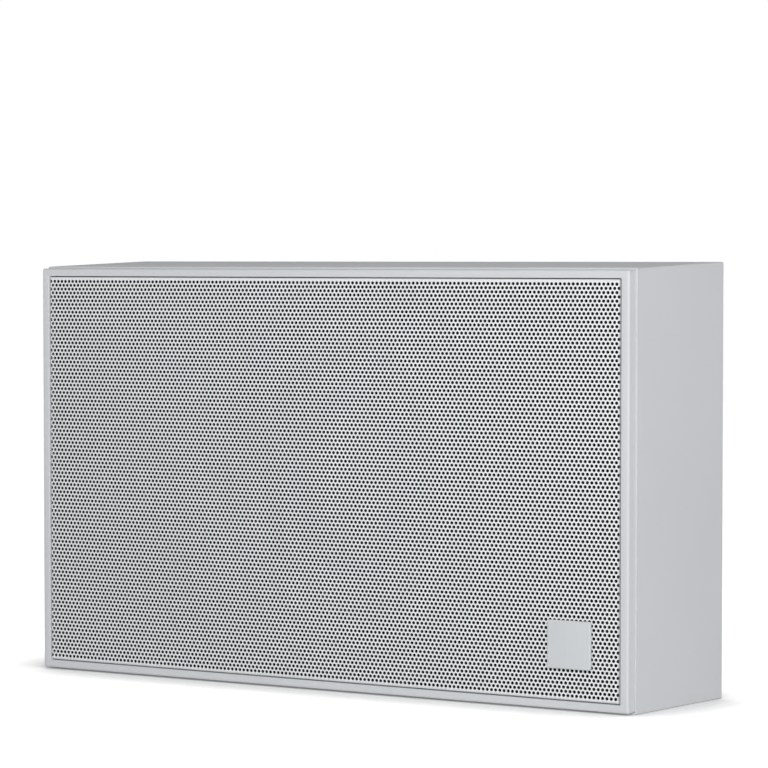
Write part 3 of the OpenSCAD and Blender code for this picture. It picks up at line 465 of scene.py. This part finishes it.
class SPEAKER_OT_stage(bpy.types.Operator):
    """Make the floor, the light, the white surroundings and the camera"""

    bl_idname = "speaker.stage"
    bl_label = "Stage"

    def execute(self, context):
        self.make_camera(context)
        self.make_world(context)
        self.make_floor(context.scene.speaker_sizes.draft, context.scene.speaker_finishes.floor)
        self.make_lamps(context)
        context.scene.view_settings.view_transform = "Standard"
        return {"FINISHED"}

    def make_camera(self, context):
        data = bpy.data.cameras.new("photo_camera")
        data.sensor_width = CAMERA_SENSOR
        data.lens = CAMERA_LENS
        data.clip_start = 0.05
        data.clip_end = 50
        camera = bpy.data.objects.new("photo_camera", data)
        camera.location = CAMERA_PLACE
        camera.rotation_mode = "QUATERNION"
        camera.rotation_quaternion = Vector(CAMERA_LOOK).to_track_quat("-Z", "Y")
        context.scene.collection.objects.link(camera)
        context.scene.camera = camera

    def make_world(self, context):
        """White to look at, and a soft pale light for everything else."""
        world = bpy.data.worlds.new("white_surroundings")
        world.use_nodes = True
        nodes, links = world.node_tree.nodes, world.node_tree.links
        nodes.clear()
        mix = nodes.new("ShaderNodeMixShader")
        out = nodes.new("ShaderNodeOutputWorld")
        for k, colour, strength in ((1, SURROUNDINGS_TINT, SURROUNDINGS_LIGHT), (2, (1, 1, 1, 1), 1.0)):
            light = nodes.new("ShaderNodeBackground")
            light.inputs["Color"].default_value = colour
            light.inputs["Strength"].default_value = strength
            links.new(light.outputs["Background"], mix.inputs[k])
        links.new(seen_rays(nodes, links), mix.inputs["Fac"])
        links.new(mix.outputs["Shader"], out.inputs["Surface"])
        context.scene.world = world

    def make_floor(self, draft, colour):
        """The floor leans with the cabinet's draft, so that the cabinet's underside lies on it."""
        bm = bmesh.new()
        far = FLOOR_HALF
        for x, y in ((-far, -far), (far, -far), (far, far), (-far, far)):
            bm.verts.new((x, y, CABINET_LOW.z - FLOOR_GAP - y * math.tan(draft)))
        bm.faces.new(bm.verts)
        floor = finish_mesh("studio_floor", bm)
        mat = bpy.data.materials.new("pale_floor")
        mat.use_nodes = True
        nodes, links = mat.node_tree.nodes, mat.node_tree.links
        nodes.clear()
        paper = nodes.new("ShaderNodeBsdfDiffuse")
        paper.inputs["Color"].default_value = (*colour, 1)
        # Painted contact shadow: ambient occlusion dims the glow the camera sees where the speaker is near
        near = nodes.new("ShaderNodeAmbientOcclusion")
        near.samples = 16
        near.inputs["Distance"].default_value = PAINTED_SHADOW_REACH
        painted_shadow = nodes.new("ShaderNodeMapRange")
        painted_shadow.inputs["From Min"].default_value = PAINTED_SHADOW_DEEPEST
        painted_shadow.inputs["To Min"].default_value = GLOW_IN_PAINTED_SHADOW
        painted_shadow.inputs["To Max"].default_value = GLOW_OPEN
        glow = nodes.new("ShaderNodeEmission")
        add = nodes.new("ShaderNodeAddShader")
        mix = nodes.new("ShaderNodeMixShader")
        out = nodes.new("ShaderNodeOutputMaterial")
        links.new(near.outputs["AO"], painted_shadow.inputs["Value"])
        links.new(painted_shadow.outputs["Result"], glow.inputs["Strength"])
        links.new(paper.outputs["BSDF"], add.inputs[0])
        links.new(glow.outputs["Emission"], add.inputs[1])
        links.new(seen_rays(nodes, links), mix.inputs["Fac"])
        links.new(paper.outputs["BSDF"], mix.inputs[1])
        links.new(add.outputs["Shader"], mix.inputs[2])
        links.new(mix.outputs["Shader"], out.inputs["Surface"])
        floor.data.materials.append(mat)

    def make_lamps(self, context):
        """A soft lamp in front on the right, one beside the speaker and one above the front."""
        for name, place, width, height, power in LAMPS:
            data = bpy.data.lights.new(name, "AREA")
            data.shape = "RECTANGLE"
            data.size = width
            data.size_y = height
            data.energy = power
            lamp = bpy.data.objects.new(name, data)
            lamp.location = place
            lamp.rotation_mode = "QUATERNION"
            lamp.rotation_quaternion = (LAMP_TARGET - Vector(place)).to_track_quat("-Z", "Y")
            context.scene.collection.objects.link(lamp)


class SPEAKER_OT_cabinet(bpy.types.Operator):
    """Finish the moulded cabinet and round its edges"""

    bl_idname = "speaker.cabinet"
    bl_label = "Cabinet"

    def execute(self, context):
        colour = context.scene.speaker_finishes.housing
        repaint(moulded_plastic("moulded_housing", colour), "cabinet")
        soften(context.scene.speaker_sizes.lip_edge, "cabinet")
        return {"FINISHED"}


class SPEAKER_OT_front_frame(bpy.types.Operator):
    """Make the plugged-in front frame with its round edges and the seat behind the grille"""

    bl_idname = "speaker.front_frame"
    bl_label = "Front frame"

    inner_edge = 0.3 * MM
    window_corner = 0.6 * MM
    tightest_corner = 0.3 * MM
    seat_width = 8 * MM
    seat_sheet = 2 * MM
    hook_width = 8 * MM
    hook_sheet = 1.5 * MM
    barb = 1.3 * MM
    barb_depth = 1.6 * MM
    hook_overlap = 0.01 * MM

    def execute(self, context):
        sizes = context.scene.speaker_sizes
        half_w = (FRAME_HIGH.x - FRAME_LOW.x) / 2 + sizes.snug
        half_h = (FRAME_HIGH.z - FRAME_LOW.z) / 2 + sizes.snug
        front = -FRAME_LOW.y
        back = -CABINET_LOW.y - sizes.pocket
        outer = sizes.frame_corner
        side, top = sizes.border_side, sizes.border_top
        seat = front - sizes.recess - sizes.fold_depth
        if min(half_w - side, half_h - top) <= 0 or seat <= back:
            raise RuntimeError("The frame leaves no room for the grille")

        def ring(inset, z, corner):
            """Outline of the frame, drawn in by inset."""
            return rounded_loop(half_w - inset, half_h - inset, max(corner, self.tightest_corner)), z

        def window(over, z, corner):
            """Outline of the window, drawn in by over."""
            return rounded_loop(half_w - side - over, half_h - top - over, corner), z

        rings = [ring(0, back, outer)]
        for inset, drop in quarter(sizes.frame_edge, 8):
            rings.append(ring(inset, front - drop, outer - inset))
        for k in range(5):
            a = math.pi / 2 * k / 4
            over = self.inner_edge * (math.sin(a) - 1)
            rings.append(window(over, front - self.inner_edge * (1 - math.cos(a)), self.window_corner))
        seat_back = seat - self.seat_sheet
        wide = self.seat_width
        for over, z in ((0, seat), (wide, seat), (wide, seat_back), (0, seat_back), (0, back)):
            rings.append(window(over, z, self.tightest_corner))
        piece = skin_rings("front_frame_ring", rings)
        self.add_hooks(piece, top, half_h, back)
        material = bpy.data.materials.get("moulded_housing")
        if material is None:
            raise RuntimeError("The cabinet comes before its front frame, which shares its plastic")
        dress(piece, material, "front_frame")
        return {"FINISHED"}

    def add_hooks(self, piece, border, half_h, back):
        """Four snap hooks behind the baffle."""
        bm = bmesh.new()
        bm.from_mesh(piece.data)
        third = (FRAME_HIGH.x - FRAME_LOW.x) / 3
        end = -FRAME_HIGH.y
        for x in (-third, third):
            for way in (-1, 1):
                wall = way * (half_h - border)
                for near, far, z0, z1 in (
                    (0, self.hook_sheet, end, back + self.seat_sheet),
                    (-self.barb, self.hook_overlap, end, end + self.barb_depth),
                ):
                    lo, hi = sorted((wall + way * near, wall + way * far))
                    place = Matrix.Translation((x, -(z0 + z1) / 2, (lo + hi) / 2))
                    size = Matrix.Diagonal((self.hook_width, z1 - z0, hi - lo, 1))
                    bmesh.ops.create_cube(bm, size=1, matrix=place @ size)
        for edge in bm.edges:
            edge.smooth = len(edge.link_faces) == 2 and edge.calc_face_angle(0) < SMOOTH_BELOW
        bm.to_mesh(piece.data)
        bm.free()


class SPEAKER_OT_grille(bpy.types.Operator):
    """Punch and fold the crowned sheet, hole by hole, in upright bands"""

    bl_idname = "speaker.grille"
    bl_label = "Grille"

    bands = 5
    hole_sides = 12
    first_hole = -0.25

    def execute(self, context):
        sizes = context.scene.speaker_sizes
        coat = powder_coat("grille_powder_coat", context.scene.speaker_finishes.grille)
        # The hole walls take a near-black coat, painted shade inside the holes
        hole_shade_coat = powder_coat("painted_shade_in_holes", context.scene.speaker_finishes.hole_wall_painted_shade)
        plane = -GRILLE_LOW.y - sizes.crown
        half_w = (GRILLE_HIGH.x - GRILLE_LOW.x) / 2 - sizes.fold
        half_h = (GRILLE_HIGH.z - GRILLE_LOW.z) / 2 - sizes.fold
        cells = self.cells(sizes, half_w, half_h)
        if not cells or sizes.hole >= sizes.pitch:
            raise RuntimeError("The holes don't fit the grille's sheet")
        cells.sort(key=lambda cell: cell[0])
        share = math.ceil(len(cells) / self.bands)
        for band in range(self.bands):
            part = cells[band * share:(band + 1) * share]
            piece = self.punched(f"grille_band_{band + 1}", part, sizes, half_w, half_h, plane)
            dress(piece, coat, "grille")
            piece.data.materials.append(hole_shade_coat)
        return {"FINISHED"}

    def reach(self, sizes):
        """Developed width of a fold, from the start of the bend to the sheet's end."""
        return math.pi / 2 * sizes.fold + sizes.fold_depth - sizes.fold

    def cells(self, sizes, half_w, half_h):
        """Centres of the holes on the flat blank; the corners are notched for folding."""
        pitch, row = sizes.pitch, sizes.pitch * math.sqrt(3) / 2
        reach = self.reach(sizes)
        across = int((half_w + reach) / pitch) + 2
        up = int((half_h + reach) / row) + 2
        out = []
        for j in range(-up, up + 1):
            for i in range(-across, across + 1):
                u = (i + (0.5 if j % 2 else 0.0) + self.first_hole) * pitch
                v = j * row
                over_u, over_v = abs(u + sizes.slip) - half_w, abs(v) - half_h
                if max(over_u, over_v) > reach:
                    continue
                if min(over_u, over_v) <= min(max(over_u, over_v), sizes.fold) + pitch * 0.6:
                    out.append((u, v))
        return out

    def punched(self, name, cells, sizes, half_w, half_h, plane):
        """Front and hole walls of a band of the sheet; cells far round a fold stay closed."""
        pitch, hole = sizes.pitch, sizes.hole / 2
        fold, sheet, reach = sizes.fold, sizes.sheet, self.reach(sizes)
        sides = self.hole_sides
        corner_out = pitch / math.sqrt(3)
        rim = [(hole * math.cos(a), hole * math.sin(a))
               for a in (math.pi * (2 * k + 2) / sides for k in range(sides))]
        hexagon = [(corner_out * math.cos(a), corner_out * math.sin(a))
                   for a in (math.pi * (2 * k + 1) / 6 for k in range(6))]
        arc_end = math.pi / 2 * fold

        def bend(over, radius):
            """Outward shift and drop of a point that lies over the bend's start."""
            if over <= 0:
                return 0.0, 0.0
            over = min(over, reach)
            if over < arc_end:
                a = over / fold
                return radius * math.sin(a), radius * (1 - math.cos(a))
            return radius, radius + over - arc_end

        def place(u, v, depth):
            """Point of the folded sheet, depth below its outer face."""
            u += sizes.slip
            over_u, over_v = abs(u) - half_w, abs(v) - half_h
            radius = fold - depth
            if over_u > over_v:
                shift, drop = bend(over_u, radius)
                cu = math.copysign(min(abs(u), half_w) + shift, u)
                cv = math.copysign(min(abs(v), half_h + shift), v)
            else:
                shift, drop = bend(over_v, radius)
                cv = math.copysign(min(abs(v), half_h) + shift, v)
                cu = math.copysign(min(abs(u), half_w + shift), u)
            fu, fv = min(abs(u) / half_w, 1.0), min(abs(v) / half_h, 1.0)
            z = plane + sizes.crown * (1 - fu * fu) * (1 - fv * fv) - depth - drop
            return Vector((cu - sizes.slip, -z, cv))

        bm = bmesh.new()
        shared = {}

        def corner(u, v):
            key = (round(u / (pitch * 0.05)), round(v / (pitch * 0.05)))
            if key not in shared:
                shared[key] = bm.verts.new(place(u, v, 0))
            return shared[key]

        for u, v in cells:
            outer = [corner(u + x, v + y) for x, y in hexagon]
            front = [bm.verts.new(place(u + x, v + y, 0)) for x, y in rim]
            bent = (abs(u + sizes.slip) - half_w + hole > sizes.side_limit
                    or abs(v) - half_h + hole > sizes.top_limit)
            back = [] if bent else [bm.verts.new(place(u + x, v + y, sheet)) for x, y in rim]
            for k in range(6):
                a, b = outer[k], outer[(k + 1) % 6]
                r0, r1, r2 = (front[(2 * k + step) % sides] for step in range(3))
                for trio in ((a, b, r1), (a, r1, r0), (b, r2, r1)):
                    bm.faces.new(trio).smooth = True
            if bent:
                middle = bm.verts.new(place(u, v, 0))
                for k in range(sides):
                    bm.faces.new((front[k], front[(k + 1) % sides], middle)).smooth = True
                continue
            for k in range(sides):
                j = (k + 1) % sides
                wall = bm.faces.new((front[k], front[j], back[j], back[k]))
                wall.smooth = True
                # Hole walls take the second material, the painted shade
                wall.material_index = 1
        for edge in bm.edges:
            if len(edge.link_faces) == 2 and len(edge.link_faces[0].verts) != len(edge.link_faces[1].verts):
                edge.smooth = False
        return mesh_object(name, bm)


class SPEAKER_OT_cloth(bpy.types.Operator):
    """Stretch the black acoustic cloth behind the grille"""

    bl_idname = "speaker.cloth"
    bl_label = "Acoustic cloth"

    columns = 72
    rows = 44

    def execute(self, context):
        width = CLOTH_HIGH.x - CLOTH_LOW.x
        height = CLOTH_HIGH.z - CLOTH_LOW.z
        if min(width, height) <= 0:
            raise RuntimeError("The frame holds no cloth to stretch")
        depth = (CLOTH_LOW.y + CLOTH_HIGH.y) / 2
        bm = bmesh.new()
        grid = [
            [bm.verts.new((CLOTH_LOW.x + width * i / self.columns, depth, CLOTH_LOW.z + height * j / self.rows))
             for i in range(self.columns + 1)] for j in range(self.rows + 1)
        ]
        for low, high in zip(grid, grid[1:]):
            for i in range(self.columns):
                bm.faces.new((low[i], low[i + 1], high[i + 1], high[i]))
        cloth = finish_mesh("acoustic_cloth", bm)
        material = acoustic_cloth("black_cloth", context.scene.speaker_finishes.cloth)
        dress(cloth, material, "grille_cloth")
        return {"FINISHED"}


class SPEAKER_OT_badge(bpy.types.Operator):
    """Make the bare badge with its round edges and two pegs"""

    bl_idname = "speaker.badge"
    bl_label = "Badge"

    plate = 1.2 * MM
    peg_radius = 1.2 * MM
    peg_out = 5 * MM

    def execute(self, context):
        sizes = context.scene.speaker_sizes
        half_w = (BADGE_HIGH.x - BADGE_LOW.x) / 2
        half_h = (BADGE_HIGH.z - BADGE_LOW.z) / 2
        cx, cz = (BADGE_HIGH.x + BADGE_LOW.x) / 2, (BADGE_HIGH.z + BADGE_LOW.z) / 2
        front = -BADGE_LOW.y
        back = front - self.plate
        edge = sizes.badge_edge
        if edge >= sizes.badge_corner:
            raise RuntimeError("The badge's front edge is rounder than its corners")
        rings = [(rounded_loop(half_w, half_h, sizes.badge_corner, 8), back)]
        for inset, drop in quarter(edge, 5):
            points = rounded_loop(half_w - inset, half_h - inset, sizes.badge_corner - inset, 8)
            rings.append((points, front - drop))
        badge = skin_rings("badge_plate", rings, closed=False)
        bm = bmesh.new()
        bm.from_mesh(badge.data)
        end = -BADGE_HIGH.y
        for x in (-self.peg_out, self.peg_out):
            bmesh.ops.create_cone(
                bm, cap_ends=True, segments=24, depth=back - end,
                radius1=self.peg_radius, radius2=self.peg_radius,
                matrix=Matrix.Translation((x, -(back + end) / 2, 0)) @ Matrix.Rotation(math.pi / 2, 4, "X"),
            )
        bmesh.ops.translate(bm, verts=bm.verts, vec=(cx, 0, cz))
        bm.to_mesh(badge.data)
        bm.free()
        material = satin_plate("badge_satin", context.scene.speaker_finishes.badge)
        dress(badge, material, "badge")
        return {"FINISHED"}


class SPEAKER_OT_fixings(bpy.types.Operator):
    """Finish the wall plate, the screws, the clips and the grommet"""

    bl_idname = "speaker.fixings"
    bl_label = "Fixings"

    def execute(self, context):
        zinc = zinc_plate("zinc_plated_steel", (0.58, 0.59, 0.61))
        repaint(zinc, "wall_plate", "badge_clips")
        soften(0.2 * MM, "wall_plate")
        screws = zinc_plate("screw_zinc", (0.62, 0.63, 0.65), 0.28)
        repaint(screws, "lock_screws", "driver_screws", "transformer_screws", "terminal_screws", "block_screw")
        repaint(soft_rubber("grommet_rubber", (0.018, 0.018, 0.02)), "cable_grommet", "driver_gasket")
        return {"FINISHED"}


class SPEAKER_OT_driver(bpy.types.Operator):
    """Finish the driver: basket, magnet, cones, surround, spider and coil"""

    bl_idname = "speaker.driver"
    bl_label = "Driver"

    def execute(self, context):
        repaint(zinc_plate("passivated_steel", (0.55, 0.52, 0.42), 0.4), "basket", "top_plate", "yoke")
        repaint(fired_ceramic("ferrite", (0.035, 0.035, 0.038)), "magnet")
        soften(0.4 * MM, "top_plate", "yoke", "magnet")
        repaint(pulp_paper("cone_pulp", (0.022, 0.020, 0.018)), "cone")
        repaint(pulp_paper("whizzer_pulp", (0.15, 0.12, 0.085)), "whizzer_cone")
        repaint(pulp_paper("cap_felt", (0.015, 0.015, 0.015)), "dust_cap")
        repaint(pulp_paper("former_kraft", (0.35, 0.22, 0.09)), "coil_former")
        repaint(soft_rubber("surround_rubber", (0.02, 0.02, 0.022), 0.6), "surround")
        repaint(pulp_paper("resin_cloth", (0.28, 0.14, 0.03)), "spider")
        repaint(wound_wire("coil_copper", (0.55, 0.22, 0.10), 1400), "voice_coil")
        repaint(pulp_paper("terminal_board", (0.16, 0.07, 0.025)), "driver_terminal")
        repaint(zinc_plate("tinned_brass", (0.72, 0.58, 0.30), 0.3), "driver_tags", "terminal_inserts")
        repaint(wound_wire("copper_braid", (0.55, 0.30, 0.14), 900), "tinsel_leads")
        return {"FINISHED"}


class SPEAKER_OT_wiring(bpy.types.Operator):
    """Finish the transformer, the terminal block, the fuse and the leads"""

    bl_idname = "speaker.wiring"
    bl_label = "Transformer and wiring"

    def execute(self, context):
        repaint(laminated_steel("core_laminations", (0.09, 0.09, 0.10)), "transformer_core")
        repaint(moulded_plastic("bobbin_nylon", (0.78, 0.74, 0.62), 0.45), "transformer_bobbin")
        repaint(wound_wire("winding_tape", (0.68, 0.45, 0.06), 250, 0.0), "transformer_winding")
        repaint(zinc_plate("bracket_zinc", (0.6, 0.6, 0.6), 0.38), "transformer_bracket")
        repaint(fired_ceramic("steatite", (0.80, 0.78, 0.70)), "terminal_block", "thermal_fuse")
        soften(0.3 * MM, "transformer_core", "transformer_bobbin", "terminal_block")
        repaint(soft_rubber("red_lead", (0.42, 0.012, 0.01), 0.4), "line_leads")
        repaint(soft_rubber("black_lead", (0.014, 0.014, 0.016), 0.4), "speaker_leads")
        return {"FINISHED"}


STEPS = (
    SPEAKER_OT_stage,
    SPEAKER_OT_cabinet,
    SPEAKER_OT_front_frame,
    SPEAKER_OT_grille,
    SPEAKER_OT_cloth,
    SPEAKER_OT_badge,
    SPEAKER_OT_fixings,
    SPEAKER_OT_driver,
    SPEAKER_OT_wiring,
)


class SPEAKER_PT_panel(bpy.types.Panel):
    """Sizes, finishes and steps of the wall speaker"""

    bl_idname = "SPEAKER_PT_panel"
    bl_label = "Wall Speaker"
    bl_space_type = "VIEW_3D"
    bl_region_type = "UI"
    bl_category = "Speaker"

    def draw(self, context):
        layout = self.layout
        for group in (context.scene.speaker_sizes, context.scene.speaker_finishes):
            box = layout.box()
            for name in group.__annotations__:
                box.prop(group, name)
        for step in STEPS:
            layout.operator(step.bl_idname)


CLASSES = (SpeakerSizes, SpeakerFinishes, *STEPS, SPEAKER_PT_panel)


def register():
    for item in CLASSES:
        bpy.utils.register_class(item)
    bpy.types.Scene.speaker_sizes = bpy.props.PointerProperty(type=SpeakerSizes)
    bpy.types.Scene.speaker_finishes = bpy.props.PointerProperty(type=SpeakerFinishes)


def unregister():
    del bpy.types.Scene.speaker_finishes
    del bpy.types.Scene.speaker_sizes
    for item in reversed(CLASSES):
        bpy.utils.unregister_class(item)


def main():
    register()
    for step in STEPS:
        group, name = step.bl_idname.split(".")
        getattr(getattr(bpy.ops, group), name)()
    bpy.context.view_layer.update()


if __name__ == "__main__":
    main()
